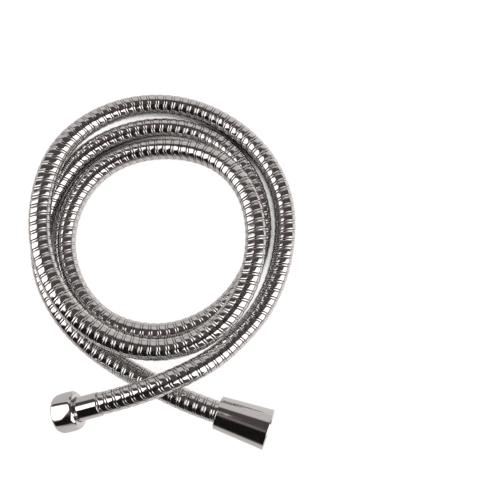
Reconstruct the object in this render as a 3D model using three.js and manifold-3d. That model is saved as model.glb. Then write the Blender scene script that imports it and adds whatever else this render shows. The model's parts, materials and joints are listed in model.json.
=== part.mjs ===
// Shower hose, 1.5 m: a chromed strip-wound jacket round a rubber liner, with a hexagon nut for the
// valve at one end and a long conical nut for the handset at the other. It lies coiled on a floor.
// Units are millimetres, +Z is up, and the floor is at z = 0.

import * as THREE from 'three';
import { mergeVertices } from 'three/addons/utils/BufferGeometryUtils.js';
import Module from 'manifold-3d';

// Running gap between neighbouring pieces
const CLEARANCE = 0.3;

// Hose: outer jacket and the water-carrying liner inside it
const HOSE_DIAMETER = 14;
const JACKET_WALL = 1;
const LINER_BORE = 8;
const JACKET_SIDES = 12;
const LINER_SIDES = 10;
const HOSE_STEPS = 80;

// Threaded socket that both nuts share (half-inch pipe thread, cut to its minor diameter)
const THREAD_BORE = 18.7;
const SOCKET_DEPTH = 11.6;
const LEAD_IN = 0.9;

// Sealing washer in the bottom of the socket
const WASHER_THICKNESS = 2;
const WASHER_HOLE = 12;

// Insert: a flanged spigot whose barbs hold the liner
const FLANGE_THICKNESS = 1.8;
const FLANGE_EDGE = 0.3;
const COLLAR_LENGTH = 1.5;
const BARB_COUNT = 4;
const BARB_PITCH = 3;
const BARB_HEIGHT = 0.4;
const BARB_LAND = 0.5;
const STEM_WALL = 0.6;

// Ferrule: the smooth sleeve between a nut and the jacket, a little thicker than the hose
const FERRULE_STEP = 0.4;
const FERRULE_LENGTH = 16.1;
const FERRULE_EDGE = 0.4;

// Hexagon nut
const HEX_SIDES = 6;
const HEX_ACROSS_FLATS = 22.2;
const HEX_LENGTH = 13.5;
const HEX_FACE_DIAMETER = 21.1;
const HEX_CHAMFER_DEPTH = 3.2;
const HEX_CHAMFER_BULGE = 0.35;
const HEX_CHAMFER_STEPS = 4;

// Conical nut
const CONE_LENGTH = 33;
const CONE_MOUTH_DIAMETER = 25;
const CONE_BACK_DIAMETER = 20.4;
const CONE_MOUTH_ROUND = 0.6;
const CONE_BACK_CHAMFER = 0.4;
const ROUND_STEPS = 3;

// Faces round a turned piece; the hexagon's corners fall on edges between them
const TURNED_SIDES = 36;
const INSERT_SIDES = 18;

// How far a cutter reaches past the piece that it cuts
const OVERCUT = 1;

// The way the hose lies, from the hexagon nut to the conical nut: two and a half loose turns.
// The curve is pulled along by these points without passing through them.
const ROUTE = [
  [-35.6, -89.7, 16.2], [-12, -83.8, 20.7], [11, -75, 24.1], [34, -63, 15.5], [49, -48, 10],
  [62, -34, 7], [74, -11, 7], [80, 17, 7], [79, 44, 7], [68, 70, 7],
  [50, 90, 7], [26, 105, 7], [-2, 112, 7], [-31, 108, 9], [-56, 93, 13.5],
  [-72, 71, 20], [-79, 43, 22], [-79, 13, 21.5], [-70, -15, 21], [-53, -38, 20],
  [-30, -53, 19], [-3, -59, 18.5], [22, -54, 19], [42, -39, 20.5], [55, -18, 21.5],
  [61, 8, 21.5], [59, 34, 21], [48, 57, 19], [27, 73, 14.5], [-1, 79, 9.5],
  [-29, 75, 7], [-52, 59, 7], [-65, 34, 7], [-67, 7, 7], [-57, -20, 7],
  [-37, -40, 7], [-10, -48, 7], [15, -45, 7], [39, -32, 7], [56, -10, 7],
  [65, 17, 7], [62, 46, 7], [48, 72, 7], [24, 90, 7], [-5, 95, 7],
  [-34, 89, 7], [-60, 73, 7], [-77, 47, 7], [-83, 17, 7], [-78, -14, 7],
  [-58, -44, 7], [-33, -63, 7], [-9, -76, 7], [15, -88, 8.6], [40.9, -96.6, 10.54],
];

// Sizes that follow from the ones above
const jacketRadius = HOSE_DIAMETER / 2;
const jacketBoreRadius = jacketRadius - JACKET_WALL;
const linerRadius = jacketBoreRadius * Math.cos(Math.PI / JACKET_SIDES) - CLEARANCE;
const linerBoreRadius = LINER_BORE / 2;
const threadRadius = THREAD_BORE / 2;
const ferruleRadius = jacketRadius + FERRULE_STEP;
const ferruleBoreRadius = linerRadius + CLEARANCE;
const nutBackRadius = ferruleRadius + CLEARANCE;
const socketFillRadius = threadRadius - CLEARANCE;
const barbRadius = linerBoreRadius * Math.cos(Math.PI / LINER_SIDES) - CLEARANCE;
const stemRadius = barbRadius - BARB_HEIGHT;
const insertBoreRadius = stemRadius - STEM_WALL;
const hexCornerRadius = HEX_ACROSS_FLATS / 2 / Math.cos(Math.PI / HEX_SIDES);

// Places along a fitting's axis, measured from the mouth of its nut towards the hose
const flangeBack = SOCKET_DEPTH - CLEARANCE;
const flangeFront = flangeBack - FLANGE_THICKNESS;
const washerBack = flangeFront - CLEARANCE;
const washerFront = washerBack - WASHER_THICKNESS;
const ferruleFront = flangeBack + CLEARANCE;
const ferruleBack = ferruleFront + FERRULE_LENGTH;
const collarBack = flangeBack + COLLAR_LENGTH;
const linerStart = collarBack + CLEARANCE;
const jacketStart = ferruleBack + CLEARANCE;
const linerLead = jacketStart - linerStart;

const wasm = await Module();
wasm.setup();

const chrome = new THREE.MeshStandardMaterial({ color: 0xc9cbcd, roughness: 0.12, metalness: 1 });
const strip = new THREE.MeshStandardMaterial({ color: 0xc2c3c4, roughness: 0.2, metalness: 1 });
const brass = new THREE.MeshStandardMaterial({ color: 0xb98d45, roughness: 0.35, metalness: 1 });
const washerRubber = new THREE.MeshStandardMaterial({ color: 0x1d1d1e, roughness: 0.8, metalness: 0 });
const linerRubber = new THREE.MeshStandardMaterial({ color: 0x55565a, roughness: 0.6, metalness: 0 });

// A smooth curve drawn along by its points, straight at both ends
class HoseRoute extends THREE.Curve {
  constructor(points) {
    super();
    const guides = points.map((point) => new THREE.Vector3(...point));
    const beforeFirst = guides[0].clone().multiplyScalar(2).sub(guides[1]);
    const afterLast = guides.at(-1).clone().multiplyScalar(2).sub(guides.at(-2));
    this.guides = [beforeFirst, ...guides, afterLast];
    this.arcLengthDivisions = 40 * points.length;
  }

  getPoint(t, target = new THREE.Vector3()) {
    const spans = this.guides.length - 3;
    const span = Math.min(Math.floor(t * spans), spans - 1);
    const part = t * spans - span;
    const rest = 1 - part;
    const weights = [
      rest ** 3 / 6,
      (3 * part ** 3 - 6 * part ** 2 + 4) / 6,
      (3 * rest ** 3 - 6 * rest ** 2 + 4) / 6,
      part ** 3 / 6,
    ];
    target.set(0, 0, 0);
    weights.forEach((weight, index) => target.addScaledVector(this.guides[span + index], weight));
    return target;
  }
}

// The same way with a straight lead at each end, where the liner runs on inside the ferrules.
// Its steps fall on the jacket's steps, so the two tubes stay on one centre line.
class LinerRoute extends THREE.Curve {
  constructor(hose, lead, hoseSteps) {
    super();
    this.hose = hose;
    this.lead = lead;
    this.hoseSteps = hoseSteps;
  }

  along(u) {
    return (u * (this.hoseSteps + 2) - 1) / this.hoseSteps;
  }

  getPointAt(u, target = new THREE.Vector3()) {
    const onHose = THREE.MathUtils.clamp(this.along(u), 0, 1);
    const past = (this.along(u) - onHose) * this.hoseSteps * this.lead;
    this.hose.getPointAt(onHose, target);
    return target.addScaledVector(this.hose.getTangentAt(onHose), past);
  }

  getTangentAt(u, target = new THREE.Vector3()) {
    return this.hose.getTangentAt(THREE.MathUtils.clamp(this.along(u), 0, 1), target);
  }
}

// A tube with flat sides, a flat one facing straight down
function tube(route, steps, sides, radius, boreRadius) {
  const ring = (ringRadius) => Array.from({ length: sides }, (_, side) => {
    const angle = 2 * Math.PI * (side + 0.5) / sides;
    return new THREE.Vector2(ringRadius * Math.cos(angle), ringRadius * Math.sin(angle));
  });
  const section = new THREE.Shape(ring(radius));
  section.holes.push(new THREE.Path(ring(boreRadius)));
  return new THREE.ExtrudeGeometry(section, { steps, bevelEnabled: false, extrudePath: route });
}

// A solid turned about Z from radius and height pairs, listed up the outside and down the inside
function turned(profile, sides) {
  const points = profile.map(([radius, along]) => new THREE.Vector2(radius, along));
  return new THREE.LatheGeometry(points, sides).rotateX(Math.PI / 2);
}

function turnedRing(profile, sides) {
  return turned([...profile, profile[0]], sides);
}

function toSolid(geometry) {
  const bare = geometry.clone();
  bare.deleteAttribute('normal');
  bare.deleteAttribute('uv');
  const merged = mergeVertices(bare);
  return new wasm.Manifold(new wasm.Mesh({
    numProp: 3,
    vertProperties: merged.attributes.position.array,
    triVerts: Uint32Array.from(merged.index.array),
  }));
}

function toGeometry(solid) {
  const mesh = solid.getMesh();
  const geometry = new THREE.BufferGeometry();
  geometry.setAttribute('position', new THREE.BufferAttribute(mesh.vertProperties, 3));
  geometry.setIndex(new THREE.BufferAttribute(mesh.triVerts, 1));
  geometry.computeVertexNormals();
  return geometry;
}

// The inside of a nut from its back face to its mouth: clearance hole, shoulder, thread, lead-in
function nutInside(length) {
  return [
    [nutBackRadius, length],
    [nutBackRadius, SOCKET_DEPTH],
    [threadRadius, SOCKET_DEPTH],
    [threadRadius, LEAD_IN],
    [threadRadius + LEAD_IN, 0],
  ];
}

// Half of the rounded chamfer that takes the corners off the hexagon, from the face outwards
function hexChamfer() {
  const run = hexCornerRadius - HEX_FACE_DIAMETER / 2;
  return Array.from({ length: HEX_CHAMFER_STEPS + 1 }, (_, step) => {
    const part = step / HEX_CHAMFER_STEPS;
    const bulge = HEX_CHAMFER_BULGE * Math.sin(Math.PI * part);
    return [HEX_FACE_DIAMETER / 2 + run * part + bulge, HEX_CHAMFER_DEPTH * part];
  });
}

// Hexagon bar cut to length, its corners turned off at both ends, bored and threaded
function hexNut() {
  const corners = Array.from({ length: HEX_SIDES }, (_, corner) => {
    const angle = 2 * Math.PI * corner / HEX_SIDES;
    return new THREE.Vector2(hexCornerRadius * Math.cos(angle), hexCornerRadius * Math.sin(angle));
  });
  const bar = new THREE.ExtrudeGeometry(new THREE.Shape(corners), {
    depth: HEX_LENGTH,
    bevelEnabled: false,
  });
  const front = hexChamfer();
  const back = hexChamfer().reverse().map(([radius, along]) => [radius, HEX_LENGTH - along]);
  const wide = hexCornerRadius + OVERCUT;
  const envelope = turned([
    [0, 0], ...front, [wide, HEX_CHAMFER_DEPTH], [wide, HEX_LENGTH - HEX_CHAMFER_DEPTH], ...back,
    [0, HEX_LENGTH],
  ], TURNED_SIDES);
  const hollow = nutInside(HEX_LENGTH + OVERCUT).reverse();
  const cutter = turned([
    [0, -OVERCUT],
    [threadRadius + LEAD_IN + OVERCUT, -OVERCUT],
    ...hollow,
    [0, HEX_LENGTH + OVERCUT],
  ], TURNED_SIDES);
  return toGeometry(toSolid(bar).intersect(toSolid(envelope)).subtract(toSolid(cutter)));
}

// Long conical grip nut, turned in one piece; it hides the ferrule of its end
function coneNut() {
  const mouthRadius = CONE_MOUTH_DIAMETER / 2;
  const backRadius = CONE_BACK_DIAMETER / 2;
  const rim = Array.from({ length: ROUND_STEPS + 1 }, (_, step) => {
    const angle = step / ROUND_STEPS * Math.PI / 2;
    return [
      mouthRadius - CONE_MOUTH_ROUND * (1 - Math.sin(angle)),
      CONE_MOUTH_ROUND * (1 - Math.cos(angle)),
    ];
  });
  return turnedRing([
    ...rim,
    [backRadius, CONE_LENGTH - CONE_BACK_CHAMFER],
    [backRadius - CONE_BACK_CHAMFER, CONE_LENGTH],
    ...nutInside(CONE_LENGTH),
  ], TURNED_SIDES);
}

// Smooth sleeve that clamps the liner on to the insert's barbs
function ferrule() {
  return turnedRing([
    [ferruleRadius - FERRULE_EDGE, ferruleFront],
    [ferruleRadius, ferruleFront + FERRULE_EDGE],
    [ferruleRadius, ferruleBack - FERRULE_EDGE],
    [ferruleRadius - FERRULE_EDGE, ferruleBack],
    [ferruleBoreRadius, ferruleBack],
    [ferruleBoreRadius, ferruleFront],
  ], TURNED_SIDES);
}

// Flange that the nut pulls on, a collar and a hollow stem with saw-tooth barbs
function insert() {
  const barbs = [];
  for (let barb = 0; barb < BARB_COUNT; barb += 1) {
    const crest = collarBack + BARB_LAND + barb * BARB_PITCH;
    barbs.push([stemRadius, crest], [barbRadius, crest]);
    barbs.push([stemRadius, crest + BARB_PITCH - BARB_LAND]);
  }
  const stemBack = collarBack + BARB_COUNT * BARB_PITCH;
  return turnedRing([
    [insertBoreRadius, flangeFront],
    [socketFillRadius - FLANGE_EDGE, flangeFront],
    [socketFillRadius, flangeFront + FLANGE_EDGE],
    [socketFillRadius, flangeBack],
    [ferruleBoreRadius - CLEARANCE, flangeBack],
    [ferruleBoreRadius - CLEARANCE, collarBack],
    [stemRadius, collarBack],
    ...barbs,
    [insertBoreRadius, stemBack],
  ], INSERT_SIDES);
}

function washer() {
  return turnedRing([
    [WASHER_HOLE / 2, washerFront],
    [socketFillRadius, washerFront],
    [socketFillRadius, washerBack],
    [WASHER_HOLE / 2, washerBack],
  ], TURNED_SIDES);
}

function mesh(name, geometry, material) {
  const piece = new THREE.Mesh(geometry, material);
  piece.name = name;
  return piece;
}

// One end of the hose, its local Z running from the nut's mouth to the hose, its local Y upwards
function fitting(name, nut, hoseEnd, hoseInner) {
  const toHose = new THREE.Vector3().subVectors(hoseInner, hoseEnd).normalize();
  const sideways = new THREE.Vector3(0, 0, 1).cross(toHose).normalize();
  const upwards = new THREE.Vector3().crossVectors(toHose, sideways);
  const group = new THREE.Group();
  group.quaternion.setFromRotationMatrix(new THREE.Matrix4().makeBasis(sideways, upwards, toHose));
  group.position.copy(hoseEnd).addScaledVector(toHose, -jacketStart);
  group.add(mesh(`${name}_nut`, nut, chrome));
  group.add(mesh(`${name}_ferrule`, ferrule(), chrome));
  group.add(mesh(`${name}_insert`, insert(), brass));
  group.add(mesh(`${name}_washer`, washer(), washerRubber));
  return group;
}

const route = new HoseRoute(ROUTE);
const linerRoute = new LinerRoute(route, linerLead, HOSE_STEPS);
const guides = ROUTE.map((point) => new THREE.Vector3(...point));
const jacket = tube(route, HOSE_STEPS, JACKET_SIDES, jacketRadius, jacketBoreRadius);
const liner = tube(linerRoute, HOSE_STEPS + 2, LINER_SIDES, linerRadius, linerBoreRadius);

const hose = new THREE.Group();
hose.add(mesh('hose_jacket', jacket, strip));
hose.add(mesh('hose_liner', liner, linerRubber));
hose.add(fitting('hex', hexNut(), guides[0], guides[1]));
hose.add(fitting('cone', coneNut(), guides.at(-1), guides.at(-2)));

export default hose;
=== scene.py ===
"""A 1.5 m metal shower hose, lying coiled on a pale floor: its looks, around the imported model."""

import json
import math

import bmesh
import bpy
import numpy as np
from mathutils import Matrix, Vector


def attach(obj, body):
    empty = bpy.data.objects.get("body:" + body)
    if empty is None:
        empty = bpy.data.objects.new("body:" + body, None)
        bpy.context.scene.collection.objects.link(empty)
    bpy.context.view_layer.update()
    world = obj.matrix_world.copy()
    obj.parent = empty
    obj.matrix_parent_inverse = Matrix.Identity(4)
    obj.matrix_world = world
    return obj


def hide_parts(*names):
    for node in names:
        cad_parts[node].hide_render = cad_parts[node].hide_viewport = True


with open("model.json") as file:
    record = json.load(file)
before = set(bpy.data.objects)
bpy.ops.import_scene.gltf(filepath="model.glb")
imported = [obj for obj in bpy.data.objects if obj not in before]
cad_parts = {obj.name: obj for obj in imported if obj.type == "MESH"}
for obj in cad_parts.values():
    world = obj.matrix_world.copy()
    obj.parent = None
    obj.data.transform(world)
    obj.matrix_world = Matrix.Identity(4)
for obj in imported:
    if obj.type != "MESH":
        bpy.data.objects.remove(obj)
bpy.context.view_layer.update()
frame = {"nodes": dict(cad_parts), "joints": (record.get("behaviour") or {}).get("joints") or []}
MM = 0.001

# Camera
# It stands almost over the hose, as in the photograph, a little towards the two nuts.
# The hose lies left of and above the middle of the picture.
CAMERA_TARGET = Vector((0.056, 0.010, 0.0))
CAMERA_DISTANCE = 0.450
CAMERA_ELEVATION = math.radians(78)
CAMERA_LENS_MM = 48.6
CAMERA_SENSOR_MM = 36.0

camera = bpy.data.objects.new("camera", bpy.data.cameras.new("camera"))
bpy.context.collection.objects.link(camera)
camera.data.lens = CAMERA_LENS_MM
camera.data.sensor_width = CAMERA_SENSOR_MM
away = Vector((0, -math.cos(CAMERA_ELEVATION), math.sin(CAMERA_ELEVATION)))
camera.location = CAMERA_TARGET + CAMERA_DISTANCE * away
camera.rotation_euler = (math.pi / 2 - CAMERA_ELEVATION, 0, 0)
bpy.context.scene.camera = camera


# Hose jacket
# A thin profiled steel strip, chromed, wound into a tube so that each turn hooks into the next.
# Outside it shows a broad, slightly slanted band and a narrow sunk one in every turn; both ends butt
# on a ferrule. It bends freely, and lies in two and a half loose turns that cross over themselves.
HOSE_WAY = [
    (-0.0356, -0.0897, 0.0162), (-0.012, -0.0838, 0.0207), (0.011, -0.075, 0.0241),
    (0.034, -0.063, 0.0155), (0.049, -0.048, 0.010), (0.062, -0.034, 0.007),
    (0.074, -0.011, 0.007), (0.080, 0.017, 0.007), (0.079, 0.044, 0.007),
    (0.068, 0.070, 0.007), (0.050, 0.090, 0.007), (0.026, 0.105, 0.007),
    (-0.002, 0.112, 0.007), (-0.031, 0.108, 0.009), (-0.056, 0.093, 0.0135),
    (-0.072, 0.071, 0.020), (-0.079, 0.043, 0.022), (-0.079, 0.013, 0.0215),
    (-0.070, -0.015, 0.021), (-0.053, -0.038, 0.020), (-0.030, -0.053, 0.019),
    (-0.003, -0.059, 0.0185), (0.022, -0.054, 0.019), (0.042, -0.039, 0.0205),
    (0.055, -0.018, 0.0215), (0.061, 0.008, 0.0215), (0.059, 0.034, 0.021),
    (0.048, 0.057, 0.019), (0.027, 0.073, 0.0145), (-0.001, 0.079, 0.0095),
    (-0.029, 0.075, 0.007), (-0.052, 0.059, 0.007), (-0.065, 0.034, 0.007),
    (-0.067, 0.007, 0.007), (-0.057, -0.020, 0.007), (-0.037, -0.040, 0.007),
    (-0.010, -0.048, 0.007), (0.015, -0.045, 0.007), (0.039, -0.032, 0.007),
    (0.056, -0.010, 0.007), (0.065, 0.017, 0.007), (0.062, 0.046, 0.007),
    (0.048, 0.072, 0.007), (0.024, 0.090, 0.007), (-0.005, 0.095, 0.007),
    (-0.034, 0.089, 0.007), (-0.060, 0.073, 0.007), (-0.077, 0.047, 0.007),
    (-0.083, 0.017, 0.007), (-0.078, -0.014, 0.007), (-0.058, -0.044, 0.007),
    (-0.033, -0.063, 0.007), (-0.009, -0.076, 0.007), (0.015, -0.088, 0.0086),
    (0.0409, -0.0966, 0.01054),
]
HOSE_DIAMETER = 14 * MM
STRIP_PITCH = 5.6 * MM
ROUND_THE_HOSE = 20
JACKET_BORE_RADIUS = 6.0 * MM
JACKET_BORE_STEP = 9 * MM
JACKET_CREASE = math.radians(40)
# Place across the strip and radius, in millimetres: the broad band, a gap, the narrow band, a gap
STRIP_SECTION = np.array([
    (0.05, 6.78), (0.18, 6.90), (0.42, 6.97), (0.90, 6.99), (3.00, 6.925), (3.48, 6.885),
    (3.72, 6.82), (3.85, 6.72), (3.93, 6.42), (4.05, 6.42), (4.12, 6.66), (4.30, 6.77),
    (4.75, 6.80), (5.20, 6.77), (5.38, 6.66), (5.46, 6.42), (5.58, 6.42),
]) * MM


def smooth_way(points, per_span=40):
    """A smooth curve drawn along by its points, straight at both ends."""
    points = np.array(points)
    before = 2 * points[:1] - points[1:2]
    after = 2 * points[-1:] - points[-2:-1]
    guides = np.vstack([before, points, after])
    t = (np.arange(per_span) / per_span)[:, None]
    weights = (
        (1 - t) ** 3,
        3 * t**3 - 6 * t**2 + 4,
        -3 * t**3 + 3 * t**2 + 3 * t + 1,
        t**3,
    )
    spans = [
        sum(weight * guide for weight, guide in zip(weights, guides[i:i + 4])) / 6
        for i in range(len(guides) - 3)
    ]
    return np.vstack(spans + [points[-1:]])


class Line:
    """A centre line with a frame that doesn't twist, measured by its length."""

    def __init__(self, centres, lead):
        steps = np.linalg.norm(np.diff(centres, axis=0), axis=1)
        self.length = float(steps.sum())
        self.along = np.concatenate([[0], np.cumsum(steps)])
        ahead = np.gradient(centres, self.along, axis=0)
        ahead[0] = centres[1] - centres[0]
        ahead[-1] = centres[-1] - centres[-2]
        ahead /= np.linalg.norm(ahead, axis=1)[:, None]
        side = np.cross((0, 0, 1), ahead[0])
        sides = []
        for direction in ahead:
            side = side - direction * side.dot(direction)
            side = side / np.linalg.norm(side)
            sides.append(side)
        self.centres = np.vstack([centres[0] - lead * ahead[0], centres, centres[-1] + lead * ahead[-1]])
        self.ahead = np.vstack([ahead[:1], ahead, ahead[-1:]])
        self.sides = np.vstack([sides[:1], sides, sides[-1:]])
        self.along = np.concatenate([[-lead], self.along, [self.length + lead]])

    def at(self, table, where):
        return np.stack([np.interp(where, self.along, table[:, axis]) for axis in range(3)], axis=-1)

    def point(self, where, radius, angle):
        """A point at a radius and an angle round the centre line."""
        side = self.at(self.sides, where)
        up = np.cross(self.at(self.ahead, where), side)
        across = np.cos(angle)[..., None] * side + np.sin(angle)[..., None] * up
        return self.at(self.centres, where) + np.asarray(radius)[..., None] * across


def add_piece(name, mesh, body):
    """Put a mesh in the scene, riding on a body of the model."""
    piece = bpy.data.objects.new(name, mesh)
    bpy.context.collection.objects.link(piece)
    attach(piece, body)
    return piece


def wound_strip(line):
    """The outside of the jacket: the strip's section carried round and along the line."""
    turns = math.ceil(line.length / STRIP_PITCH) + 2
    columns = turns * ROUND_THE_HOSE
    across, radius = STRIP_SECTION[:, 0], STRIP_SECTION[:, 1]
    column = np.arange(columns + 1)
    where = (column / ROUND_THE_HOSE - 1)[:, None] * STRIP_PITCH + across[None, :]
    angle = np.broadcast_to((2 * math.pi * column / ROUND_THE_HOSE)[:, None], where.shape)
    points = line.point(where, np.broadcast_to(radius, where.shape), angle)
    rows = len(across)
    first, row = np.meshgrid(np.arange(columns), np.arange(rows), indexing="ij")
    wraps = row == rows - 1
    next_row = np.where(wraps, 0, row + 1)
    turn = np.where(wraps, ROUND_THE_HOSE, 0)
    kept = first + turn + 1 <= columns
    first, row, next_row, turn = first[kept], row[kept], next_row[kept], turn[kept]
    faces = np.stack([
        first * rows + row,
        (first + 1) * rows + row,
        (first + 1 + turn) * rows + next_row,
        (first + turn) * rows + next_row,
    ], axis=1)
    strip_long = 2 * math.pi * radius.max() / ROUND_THE_HOSE
    far_across = np.where(turn > 0, STRIP_PITCH, across[next_row])
    corners = np.stack([
        np.stack([first * strip_long, across[row]], axis=1),
        np.stack([(first + 1) * strip_long, across[row]], axis=1),
        np.stack([(first + 1) * strip_long, far_across], axis=1),
        np.stack([first * strip_long, far_across], axis=1),
    ], axis=1)
    mesh = bpy.data.meshes.new("wound_strip")
    mesh.from_pydata(points.reshape(-1, 3), [], faces.tolist())
    mesh.uv_layers.new(name="strip").data.foreach_set("uv", corners.reshape(-1))
    return mesh


def cut_square(shape, near, centre, outwards):
    """Cut the strip off square at an end of the hose, and give back the edge of the cut."""
    faces = [face for face in shape.faces if (face.calc_center_median() - centre).length < near]
    # Dictionaries keep their order, which sets don't, so the cut is the same in every run
    edges = dict.fromkeys(edge for face in faces for edge in face.edges)
    corners = dict.fromkeys(corner for face in faces for corner in face.verts)
    cut = bmesh.ops.bisect_plane(
        shape,
        geom=[*corners, *edges, *faces],
        dist=1e-7,
        plane_co=centre,
        plane_no=outwards,
        clear_outer=True,
    )
    return [part for part in cut["geom_cut"] if isinstance(part, bmesh.types.BMEdge)]


def hose_jacket():
    """The wound strip with its ends cut square, and the bore that closes it to a solid."""
    line = Line(smooth_way(HOSE_WAY), 4 * STRIP_PITCH)
    shape = bmesh.new()
    shape.from_mesh(wound_strip(line))
    ends = [
        cut_square(shape, 3 * STRIP_PITCH, Vector(line.centres[1]), -Vector(line.ahead[0])),
        cut_square(shape, 3 * STRIP_PITCH, Vector(line.centres[-2]), Vector(line.ahead[-1])),
    ]
    rings = []
    around = 2 * math.pi * np.arange(ROUND_THE_HOSE) / ROUND_THE_HOSE
    bore = np.full(ROUND_THE_HOSE, JACKET_BORE_RADIUS)
    for where in np.linspace(0, line.length, round(line.length / JACKET_BORE_STEP)):
        spots = line.point(np.full(ROUND_THE_HOSE, where), bore, around)
        rings.append([shape.verts.new(spot) for spot in spots])
    for ring, following in zip(rings, rings[1:]):
        for i in range(ROUND_THE_HOSE):
            shape.faces.new((ring[i - 1], following[i - 1], following[i], ring[i]))
    for ring, edges in zip((rings[0], rings[-1]), ends):
        loop = [shape.edges.get((ring[i - 1], ring[i])) for i in range(ROUND_THE_HOSE)]
        bmesh.ops.bridge_loops(shape, edges=edges + loop)
    bmesh.ops.recalc_face_normals(shape, faces=shape.faces)
    mesh = bpy.data.meshes.new("jacket")
    shape.to_mesh(mesh)
    shape.free()
    mesh.shade_smooth()
    mesh.set_sharp_from_angle(angle=JACKET_CREASE)
    return line, add_piece("jacket", mesh, "hose")


class Wire:
    """The value that comes out of a node, so that shader maths reads as Python."""

    def __init__(self, finish, socket):
        self.finish = finish
        self.socket = socket

    def output(self, name):
        """Another output of the same node."""
        return Wire(self.finish, self.socket.node.outputs[name])

    def maths(self, operation, first, second):
        return self.finish.node("ShaderNodeMath", {"operation": operation}, {0: first, 1: second})

    def __add__(self, other):
        return self.maths("ADD", self, other)

    def __sub__(self, other):
        return self.maths("SUBTRACT", self, other)

    def __rsub__(self, other):
        return self.maths("SUBTRACT", other, self)

    def __mul__(self, other):
        return self.maths("MULTIPLY", self, other)

    __radd__ = __add__
    __rmul__ = __mul__


class Finish:
    """A node tree, with one way of adding a node to it."""

    def __init__(self, owner):
        owner.use_nodes = True
        self.tree = owner.node_tree
        self.tree.nodes.clear()

    def node(self, kind, settings=None, sockets=None, out=0):
        made = self.tree.nodes.new(kind)
        for name, value in (settings or {}).items():
            setattr(made, name, value)
        for name, value in (sockets or {}).items():
            if isinstance(value, Wire):
                self.tree.links.new(value.socket, made.inputs[name])
            else:
                made.inputs[name].default_value = value
        return Wire(self, made.outputs[out]) if made.outputs else made

    def step(self, value, start, end):
        """0 up to start and 1 from end on, with a soft slope between."""
        return self.node(
            "ShaderNodeMapRange",
            {"interpolation_type": "SMOOTHSTEP"},
            {"Value": value, "From Min": start, "From Max": end},
        )

    def noise(self, coordinate, scale, detail=2.0, roughness=0.5):
        return self.node(
            "ShaderNodeTexNoise",
            sockets={"Vector": coordinate, "Scale": scale, "Detail": detail, "Roughness": roughness},
        )

    def streaks(self, layer, stretch, detail):
        """Fine marks along the way that a piece was rolled or turned."""
        coordinate = self.node("ShaderNodeUVMap", {"uv_map": layer})
        return self.noise(
            self.node("ShaderNodeMapping", sockets={"Vector": coordinate, "Scale": (*stretch, 1)}),
            1.0, detail,
        )

    def bump(self, height, strength, distance, under=None):
        sockets = {"Strength": strength, "Distance": distance, "Height": height}
        if under:
            sockets["Normal"] = under
        return self.node("ShaderNodeBump", sockets=sockets)

    def mix(self, share, first, second):
        """A colour between two others."""
        return self.node(
            "ShaderNodeMix",
            {"data_type": "RGBA"},
            {0: share, 6: first, 7: second},
            out=2,
        )


def material(name):
    made = bpy.data.materials.new(name)
    return made, Finish(made)


def dress(piece, look, node):
    """Give a piece its material, and hide the solid of the model that it stands for."""
    piece.data.materials.append(look)
    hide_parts(node)


def metal_surface(finish, colour, roughness, normal):
    surface = finish.node("ShaderNodeBsdfPrincipled", sockets={
        "Base Color": colour,
        "Metallic": 1.0,
        "Roughness": roughness,
        "Normal": normal,
    })
    finish.node("ShaderNodeOutputMaterial", sockets={"Surface": surface})


# Edges of the two bands across the strip, as the material sees them
BROAD_BAND = (0.02 * MM, 3.88 * MM)
NARROW_BAND = (4.05 * MM, 5.45 * MM)
BAND_EDGE = 0.20 * MM


def strip_chrome():
    """Chromed strip: bright on its two bands, and near black down in the gaps, a painted shade of the
    recesses with some dirt.
    """
    made, finish = material("chromed_strip")
    place = finish.node("ShaderNodeTexCoord", out="Object")
    coordinate = finish.node("ShaderNodeUVMap", {"uv_map": "strip"})
    across = finish.node("ShaderNodeSeparateXYZ", sockets={"Vector": coordinate}, out="Y")
    broad, narrow = (
        finish.step(across, start, start + BAND_EDGE) * finish.step(across, end, end - BAND_EDGE)
        for start, end in (BROAD_BAND, NARROW_BAND)
    )
    cloud = finish.noise(place, 140.0, 3.0)
    clean = finish.mix(cloud, (0.60, 0.59, 0.585, 1), (0.68, 0.675, 0.67, 1))
    # Near black down in the gaps: painted shade of the recesses, with some dirt
    colour = finish.mix(broad + narrow, (0.16, 0.15, 0.145, 1), clean)
    roughness = 0.05 + 0.09 * cloud
    fine = finish.bump(finish.streaks("strip", (60, 4000), 3.0), 0.15, 0.04 * MM)
    normal = finish.bump(finish.noise(place, 260.0, 1.0), 0.35, 0.3 * MM, fine)
    metal_surface(finish, colour, roughness, normal)
    return made


hose_line, jacket = hose_jacket()
dress(jacket, strip_chrome(), "hose_jacket")


# Hexagon nut, on the valve's end
# A slice of brass hexagon bar, its corners turned off, bored and threaded, then polished until every
# edge is soft, and chromed. It turns freely on the hose's flange.
SHOULDER = 11.6
SWIVELS = {joint["child"]: joint for joint in frame["joints"]}
TURNED_SIDES = 144
THREAD_PITCH = 1.814
THREAD_CREST = 9.38
THREAD_ROOT = 10.15
THREAD_SINK = 0.08
THREAD_START = 1.2
THREAD_END = 6.4
SOCKET_BORE = 9.35
SOCKET_STEP = 7.0
NUT_BACK_BORE = 7.7
COUNTERSINK = 0.7
HEX_ACROSS_FLATS = 22.2
HEX_LENGTH = 13.5
HEX_FACE_RADIUS = 10.5
HEX_FRONT_CHAMFER = 3.8
HEX_BACK_CHAMFER = 3.2
HEX_CHAMFER_REACH = 2.6
HEX_CHAMFER_BULGE = 0.55
HEX_CORNER_SOFTNESS = 0.35
HEX_EDGE_SOFTNESS = 0.14
HEX_CROWN = 0.28
HEX_CROWN_RADIUS = 28.0
HEX_BARREL_RADIUS = 44.0
# Radius and further depth of the turned outline, from the end of the chamfer to well past the corners
HEX_PAST_CORNERS = ((13.9, 0.3), (14.8, 0.6), (16.5, 0.9), (19.0, 1.2))
TURNED_CREASE = math.radians(32)


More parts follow.
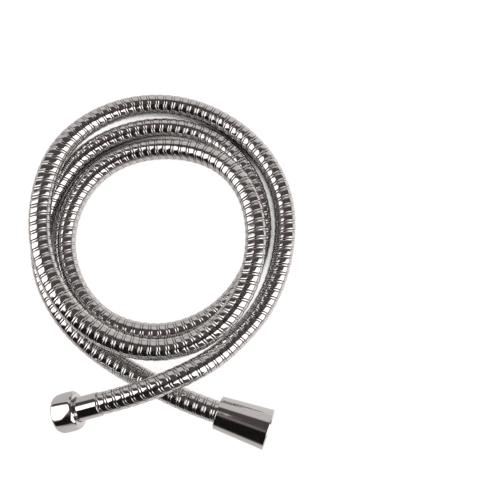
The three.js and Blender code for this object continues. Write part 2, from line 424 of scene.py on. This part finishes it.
class Axis:
    """The line that one end's pieces are turned about, from its nut's mouth towards the hose."""

    def __init__(self, swivel):
        along = Vector(swivel["axis"]).normalized()
        side = Vector((0, 0, 1)).cross(along).normalized()
        self.turn = np.array([side, along.cross(side), along])
        self.mouth = np.array(swivel["pos_m"]) - SHOULDER * MM * np.array(along)

    def places(self, radius, along, angle):
        """Places in the model, from millimetres and radians about the axis."""
        across, up = radius * np.cos(angle), radius * np.sin(angle)
        local = np.stack(np.broadcast_arrays(across, up, along), axis=-1)
        return self.mouth + local * MM @ self.turn


def rounded(corners, steps=6, support=0.12):
    """A closed outline through (radius, along, rounding) corners, ready to be turned."""
    corners = np.array(corners, float)
    outline = []
    for before, corner, after in zip(np.roll(corners, 1, 0), corners, np.roll(corners, -1, 0)):
        back, ahead = before[:2] - corner[:2], after[:2] - corner[:2]
        back_length, ahead_length = np.linalg.norm(back), np.linalg.norm(ahead)
        back, ahead = back / back_length, ahead / ahead_length
        reach = corner[2] * math.tan(math.acos(max(-1.0, min(1.0, -back.dot(ahead)))) / 2)
        start, end = corner[:2] + reach * back, corner[:2] + reach * ahead
        if back_length > reach + 2 * support:
            outline.append(start + support * back)
        if reach > 0:
            for t in np.linspace(0, 1, steps + 1):
                outline.append((1 - t) ** 2 * start + 2 * t * (1 - t) * corner[:2] + t**2 * end)
        else:
            outline.append(corner[:2])
        if ahead_length > reach + 2 * support:
            outline.append(end + support * ahead)
    return np.array(outline)


def grid_piece(name, grids, body):
    """A piece from grids of points, each closed across; a grid that isn't open closes round too."""
    points, faces, corners, sofar = [], [], [], 0
    for places, is_open, spans in grids:
        columns, rows = places.shape[:2]
        points.append(places.reshape(-1, 3))
        column, row = np.meshgrid(np.arange(columns - is_open), np.arange(rows), indexing="ij")
        right, down = (column + 1) % columns, (row + 1) % rows
        faces.append(sofar + np.stack([
            column * rows + row, right * rows + row, right * rows + down, column * rows + down,
        ], axis=-1).reshape(-1, 4))
        long, wide = spans
        far = np.append(wide[1:], wide[-1] + np.ptp(wide) / rows)
        corners.append(np.stack([
            np.stack([column * long, wide[row]], axis=-1),
            np.stack([(column + 1) * long, wide[row]], axis=-1),
            np.stack([(column + 1) * long, far[row]], axis=-1),
            np.stack([column * long, far[row]], axis=-1),
        ], axis=2).reshape(-1, 2))
        sofar += columns * rows
    mesh = bpy.data.meshes.new(name)
    mesh.from_pydata(np.vstack(points), [], np.vstack(faces).tolist())
    mesh.uv_layers.new(name="turned").data.foreach_set("uv", np.vstack(corners).reshape(-1))
    mesh.shade_smooth()
    mesh.set_sharp_from_angle(angle=TURNED_CREASE)
    return add_piece(name, mesh, body)


def turned(axis, outline, section=None):
    """The grid of a ring section carried round the axis; section changes its radius by angle."""
    angle = 2 * math.pi * np.arange(TURNED_SIDES)[:, None] / TURNED_SIDES
    radius = np.broadcast_to(outline[:, 0], (TURNED_SIDES, len(outline)))
    if section:
        radius = section(radius, outline[:, 1], angle)
    steps = np.linalg.norm(np.diff(outline, axis=0), axis=1)
    wide = np.concatenate([[0], np.cumsum(steps)]) * MM
    long = 2 * math.pi * outline[:, 0].max() * MM / TURNED_SIDES
    return axis.places(radius, outline[:, 1], angle), False, (long, wide)


def thread(axis):
    """The ridge of a pipe thread inside a socket, running out into the wall at both ends."""
    sunk = THREAD_ROOT + THREAD_SINK
    section = np.array([
        (sunk, -0.78), (THREAD_CREST + 0.06, -0.20), (THREAD_CREST, -0.10),
        (THREAD_CREST, 0.10), (THREAD_CREST + 0.06, 0.20), (sunk, 0.78),
    ])
    turns = (THREAD_END - THREAD_START) / THREAD_PITCH
    columns = round(turns * TURNED_SIDES)
    turn = np.linspace(0, turns, columns + 1)[:, None]
    grown = np.clip(np.minimum(turn, turns - turn) * 2.5, 0, 1)
    grown = grown * grown * (3 - 2 * grown)
    radius = sunk + grown * (section[:, 0] - sunk)
    along = THREAD_START + turn * THREAD_PITCH + grown * section[:, 1]
    wide = np.cumsum(np.full(len(section), 0.4 * MM))
    long = 2 * math.pi * THREAD_ROOT * MM / TURNED_SIDES
    return axis.places(radius, along, 2 * math.pi * turn), True, (long, wide)


def nut_inside(length, edge):
    """The inside of a nut, from its back face to its mouth, for the end of its outline."""
    return [
        (NUT_BACK_BORE, length, edge), (NUT_BACK_BORE, SHOULDER, 0.1), (SOCKET_BORE, SHOULDER, 0.1),
        (SOCKET_BORE, SOCKET_STEP, 0.1), (THREAD_ROOT, SOCKET_STEP - 0.4, 0.1),
        (THREAD_ROOT, COUNTERSINK, 0.15),
    ]


def soft_lesser(first, second, softness):
    """The lesser of two lengths, with a soft change from one to the other."""
    return -softness * np.logaddexp(-first / softness, -second / softness)


def hexagon(radius, along, angle):
    """Six slightly crowned flats with rounded corners, cut by the turned radius."""
    middle = HEX_ACROSS_FLATS / 2 + HEX_CROWN
    middle = middle - (along - HEX_LENGTH / 2) ** 2 / (2 * HEX_BARREL_RADIUS)
    centre = middle - HEX_CROWN_RADIUS
    off = np.mod(angle, math.pi / 3) - math.pi / 6
    flats = [
        centre * np.cos(turn) + np.sqrt(HEX_CROWN_RADIUS**2 - (centre * np.sin(turn)) ** 2)
        for turn in (off, math.pi / 3 - np.abs(off))
    ]
    corner = soft_lesser(flats[0], flats[1], HEX_CORNER_SOFTNESS)
    return soft_lesser(radius, corner, HEX_EDGE_SOFTNESS)


def hexagon_nut(axis):
    """The outline is turned past the corners, and the hexagon then cuts it down to its flats."""
    part = np.linspace(0, 1, 22)
    bulge = HEX_CHAMFER_BULGE * np.sin(math.pi * part / 1.6)
    reach = HEX_FACE_RADIUS + HEX_CHAMFER_REACH * part + bulge
    ends = []
    for depth in (HEX_FRONT_CHAMFER, HEX_BACK_CHAMFER):
        ends.append(np.vstack([
            [(THREAD_ROOT + 0.12, 0.0), (HEX_FACE_RADIUS - 0.16, 0.0), (HEX_FACE_RADIUS - 0.05, 0.03)],
            np.stack([reach, depth * part + 0.08], axis=-1),
            [(radius, depth + further) for radius, further in HEX_PAST_CORNERS],
        ]))
    front = ends[0]
    back = ends[1][::-1] * (1, -1) + (0, HEX_LENGTH)
    face = back[-1, 0]
    bore = nut_inside(HEX_LENGTH, 0.25)
    inside = rounded([(face, HEX_LENGTH, 0), *bore, (THREAD_ROOT + 0.1, 0, 0)])
    middle = [(20, along) for along in np.linspace(front[-1, 1] + 0.5, back[0, 1] - 0.5, 5)]
    outline = np.vstack([front, middle, back[:-1], inside])
    grids = [turned(axis, outline, hexagon), thread(axis)]
    return grid_piece("hexagon_nut", grids, "hex_nut")


def polished_chrome():
    """Chrome plate: a faint haze of handling, and turning marks too fine to see one by one."""
    made, finish = material("polished_chrome")
    place = finish.node("ShaderNodeTexCoord", out="Object")
    haze = finish.noise(place, 260.0, 4.0, 0.6)
    colour = finish.mix(haze, (0.60, 0.592, 0.588, 1), (0.66, 0.655, 0.65, 1))
    roughness = 0.035 + 0.05 * haze
    fine = finish.bump(finish.streaks("turned", (90, 7000), 3.0), 0.08, 0.02 * MM)
    normal = finish.bump(finish.noise(place, 90.0, 1.0), 0.25, 0.2 * MM, fine)
    metal_surface(finish, colour, roughness, normal)
    return made


hex_axis = Axis(SWIVELS["hex_nut"])
hex_nut = hexagon_nut(hex_axis)
chrome = polished_chrome()
dress(hex_nut, chrome, "hex_nut")


# Conical nut, on the handset's end
# Turned from brass bar as one long cone that the hand can grip, with a rounded rim and the same
# threaded socket, then polished and chromed. It reaches back over its ferrule to the hose.
CONE_LENGTH = 33.0
CONE_MOUTH_RADIUS = 12.5
CONE_BACK_RADIUS = 10.2


def conical_nut(axis):
    outline = rounded([
        (CONE_MOUTH_RADIUS, 0, 0.35),
        (CONE_BACK_RADIUS, CONE_LENGTH, 0.35),
        *nut_inside(CONE_LENGTH, 0.3),
        (THREAD_ROOT + 0.7, 0, 0.1),
    ])
    grids = [turned(axis, outline), thread(axis)]
    return grid_piece("conical_nut", grids, "cone_nut")


cone_axis = Axis(SWIVELS["cone_nut"])
cone_nut = conical_nut(cone_axis)
dress(cone_nut, chrome, "cone_nut")


# Ferrules
# Drawn brass sleeves, polished and chromed, one at each end of the hose. Each is pressed over the
# liner on its spigot, and the wound jacket butts against it.
FERRULE_RADIUS = 7.4
FERRULE_BORE = 5.8
FERRULE_FRONT = 11.6
FERRULE_BACK = 27.95


def ferrule(name, axis):
    outline = rounded([
        (FERRULE_BORE, FERRULE_FRONT, 0), (FERRULE_RADIUS, FERRULE_FRONT, 0.4),
        (FERRULE_RADIUS, FERRULE_BACK, 0.45), (FERRULE_BORE, FERRULE_BACK, 0.2),
    ])
    return grid_piece(name, [turned(axis, outline)], "hose")


hex_ferrule = ferrule("hex_sleeve", hex_axis)
cone_ferrule = ferrule("cone_sleeve", cone_axis)
dress(hex_ferrule, chrome, "hex_ferrule")
dress(cone_ferrule, chrome, "cone_ferrule")


# Spigots
# Machined from brass and left bare, they are seen only through the nuts' sockets. The flange is what
# a nut pulls on, and the hollow stem holds the liner on its barbs.
FLANGE_RADIUS = 9.05
FLANGE_FRONT = 9.5
FLANGE_BACK = 11.3
COLLAR_RADIUS = 5.49
COLLAR_BACK = 12.8
STEM_RADIUS = 3.1
STEM_BORE = 2.5
STEM_BACK = 24.8
BARBS = 4
BARB_RADIUS = 3.5
BARB_PITCH = 3.0
BARB_GAP = 0.5


def spigot(name, axis):
    barbs = []
    for barb in range(BARBS):
        crest = COLLAR_BACK + BARB_GAP + BARB_PITCH * barb
        barbs += [(STEM_RADIUS, crest, 0), (BARB_RADIUS, crest, 0.04)]
        barbs.append((STEM_RADIUS, crest + BARB_PITCH - BARB_GAP, 0))
    outline = rounded([
        (STEM_BORE, FLANGE_FRONT, 0.3), (FLANGE_RADIUS, FLANGE_FRONT, 0.3),
        (FLANGE_RADIUS, FLANGE_BACK, 0.1), (COLLAR_RADIUS, FLANGE_BACK, 0.1),
        (COLLAR_RADIUS, COLLAR_BACK, 0.1), (STEM_RADIUS, COLLAR_BACK, 0),
        *barbs[:-1], (STEM_RADIUS, STEM_BACK, 0.1), (STEM_BORE, STEM_BACK, 0.1),
    ], steps=3)
    return grid_piece(name, [turned(axis, outline)], "hose")


def bare_brass():
    """Machined brass: clear turning marks, and brown tarnish in patches."""
    made, finish = material("bare_brass")
    place = finish.node("ShaderNodeTexCoord", out="Object")
    turning = finish.streaks("turned", (60, 5200), 2.0)
    tarnish = finish.step(finish.noise(place, 420.0, 5.0, 0.65), 0.42, 0.66)
    clean = finish.mix(turning, (0.50, 0.31, 0.10, 1), (0.72, 0.50, 0.20, 1))
    colour = finish.mix(tarnish, clean, (0.30, 0.17, 0.06, 1))
    roughness = 0.22 + 0.18 * turning + 0.22 * tarnish
    metal_surface(finish, colour, roughness, finish.bump(turning, 0.5, 0.04 * MM))
    return made


hex_spigot = spigot("hex_spigot", hex_axis)
cone_spigot = spigot("cone_spigot", cone_axis)
brass = bare_brass()
dress(hex_spigot, brass, "hex_insert")
dress(cone_spigot, brass, "cone_insert")


# Washers
# Flat rings moulded in black rubber, one in the bottom of each socket. The valve's outlet or the
# handset's tail presses on them, and a shallow groove round the face helps the seal.
WASHER_HOLE = 6.0
WASHER_FRONT = 7.2
WASHER_BACK = 9.2
GROOVE_INNER = 7.2
GROOVE_OUTER = 7.9
GROOVE_SLOPE = 0.15


def washer(name, axis):
    outline = rounded([
        (WASHER_HOLE, WASHER_FRONT, 0.2), (GROOVE_INNER, WASHER_FRONT, 0.1),
        (GROOVE_INNER + GROOVE_SLOPE, WASHER_FRONT + GROOVE_SLOPE, 0.1),
        (GROOVE_OUTER - GROOVE_SLOPE, WASHER_FRONT + GROOVE_SLOPE, 0.1),
        (GROOVE_OUTER, WASHER_FRONT, 0.1), (FLANGE_RADIUS, WASHER_FRONT, 0.25),
        (FLANGE_RADIUS, WASHER_BACK, 0.25), (WASHER_HOLE, WASHER_BACK, 0.2),
    ], steps=3)
    return grid_piece(name, [turned(axis, outline)], "hose")


def rubber(name, dark, painted_light, roughness, grain_size):
    """Rubber: matt, with a fine grain and a dusty bloom."""
    made, finish = material(name)
    place = finish.node("ShaderNodeTexCoord", out="Object")
    grain = finish.noise(place, grain_size, 3.0, 0.6)
    bloom = finish.step(finish.noise(place, 300.0, 4.0, 0.6), 0.35, 0.75)
    surface = finish.node("ShaderNodeBsdfPrincipled", sockets={
        "Base Color": finish.mix(bloom, dark, painted_light),
        "Roughness": roughness + 0.15 * bloom,
        "Normal": finish.bump(grain, 0.5, 0.05 * MM),
    })
    finish.node("ShaderNodeOutputMaterial", sockets={"Surface": surface})
    return made


BLACK = ((0.010, 0.010, 0.011, 1), (0.028, 0.028, 0.030, 1))
hex_washer = washer("hex_seal", hex_axis)
cone_washer = washer("cone_seal", cone_axis)
black_rubber = rubber("black_rubber", *BLACK, roughness=0.60, grain_size=4200.0)
dress(hex_washer, black_rubber, "hex_washer")
dress(cone_washer, black_rubber, "cone_washer")


# Liner
# A smooth extruded rubber tube that carries the water inside the jacket, from spigot to spigot. The
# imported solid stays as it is, and shows only down the bore of the spigots.
GREY = ((0.075, 0.075, 0.085, 1), (0.110, 0.110, 0.120, 1))
grey_rubber = rubber("grey_rubber", *GREY, roughness=0.45, grain_size=2600.0)
for slot in frame["nodes"]["hose_liner"].material_slots:
    slot.material = grey_rubber


# Studio
# A pale paper floor that glows with painted light where it is open and is painted dark in the gaps of
# the coil, under soft even light, and two broad soft boxes, one on each side, that the chrome mirrors.
# Between them the ceiling is dark, the far wall is light grey and the near one black.
FLOOR_SIZE = 6.0
FLOOR_OPENNESS = (0.125, 0.175)
FLOOR_GLOW = 0.85
CEILING = 0.078
FAR_WALL = 0.63
NEAR_WALL = -0.069
GLINT = 0.11
SOFT_BOX = 2.2
PAPER = 0.62
PAPER_RISE = 0.30
PAPER_SHADE = 0.03
EVEN_LIGHT = 1.1
DARK_CAST = (1.16, 0.98, 0.95, 1)
LIGHT_CAST = (1.05, 1.0, 0.985, 1)


def floor():
    """Paper that glows white with painted light wherever ambient occlusion finds it open, and is painted
    dark in the gaps of the coil.
    """
    half = FLOOR_SIZE / 2
    corners = [(-half, -half, 0), (half, -half, 0), (half, half, 0), (-half, half, 0)]
    mesh = bpy.data.meshes.new("floor")
    mesh.from_pydata(corners, [], [(0, 1, 2, 3)])
    made, finish = material("floor_paper")
    openness = finish.node(
        "ShaderNodeAmbientOcclusion", {"samples": 32}, {"Distance": HOSE_DIAMETER}, out="AO"
    )
    # The paper's glow is painted light; where occlusion shuts it off in the coil's gaps, that is painted
    # shade
    painted_light = finish.step(openness, *FLOOR_OPENNESS)
    paper = finish.node("ShaderNodeBsdfDiffuse", sockets={"Color": (0.9, 0.9, 0.9, 1)})
    glow = finish.node(
        "ShaderNodeEmission", sockets={"Color": (1, 0.988, 0.98, 1), "Strength": 1.10 * painted_light}
    )
    both = finish.node("ShaderNodeMixShader", sockets={0: FLOOR_GLOW, 1: paper, 2: glow})
    mirrored = finish.node("ShaderNodeLightPath", out="Is Glossy Ray")
    clear = finish.node("ShaderNodeBsdfTransparent")
    seen = finish.node("ShaderNodeMixShader", sockets={0: mirrored * painted_light, 1: both, 2: clear})
    finish.node("ShaderNodeOutputMaterial", sockets={"Surface": seen})
    mesh.materials.append(made)
    piece = bpy.data.objects.new("floor", mesh)
    bpy.context.collection.objects.link(piece)


def surroundings():
    """What the chrome mirrors, by direction: x to the right, y to the far side and z up."""
    world = bpy.data.worlds.new("studio")
    bpy.context.scene.world = world
    finish = Finish(world)
    towards = finish.node("ShaderNodeSeparateXYZ", sockets={
        "Vector": finish.node("ShaderNodeTexCoord", out="Generated"),
    })
    x, y, z = (towards.output(axis) for axis in "XYZ")
    left_box = (
        finish.step(-0.36 + 0.4545 * y - x, -0.03, 0.03)
        * finish.step(y, 0.34, 0.20)
        * finish.step(y, -0.42, -0.28)
    )
    right_box = (
        finish.step(x - 0.708 - 0.923 * y, -0.05, 0.05)
        * finish.step(y, 0.14, 0.06)
        * finish.step(y, -0.70, -0.60)
    )
    boxes = left_box.maths("MAXIMUM", left_box, right_box)
    far_wall = finish.step(y, 0.64, 0.76)
    near_wall = finish.step(y, -0.10, -0.34) * finish.step(x, 0.35, -0.15)
    glint = finish.step(y, -0.24, -0.14) * finish.step(y, 0.10, 0.02) * finish.step(x, -0.24, -0.30)
    above = CEILING + FAR_WALL * far_wall + NEAR_WALL * near_wall + GLINT * glint + SOFT_BOX * boxes
    steep = finish.step(z, -0.06, -0.38)
    seen_paper = steep + (1.0 - steep) * finish.step(y, -0.3, 0.2)
    below = PAPER_SHADE + (PAPER + PAPER_RISE * finish.step(x, -0.4, 0.7)) * seen_paper
    brightness = below + (above - below) * finish.step(z, -0.02, 0.02)
    cast = finish.mix(finish.step(brightness, 0.02, 0.7), DARK_CAST, LIGHT_CAST)
    mirrored = finish.node("ShaderNodeBackground", sockets={"Color": cast, "Strength": brightness})
    even = finish.node(
        "ShaderNodeBackground", sockets={"Color": (1, 1, 1, 1), "Strength": EVEN_LIGHT}
    )
    glossy = finish.node("ShaderNodeLightPath", out="Is Glossy Ray")
    both = finish.node("ShaderNodeMixShader", sockets={0: glossy, 1: even, 2: mirrored})
    finish.node("ShaderNodeOutputWorld", sockets={"Surface": both})


floor()
surroundings()
bpy.context.scene.view_settings.view_transform = "Standard"
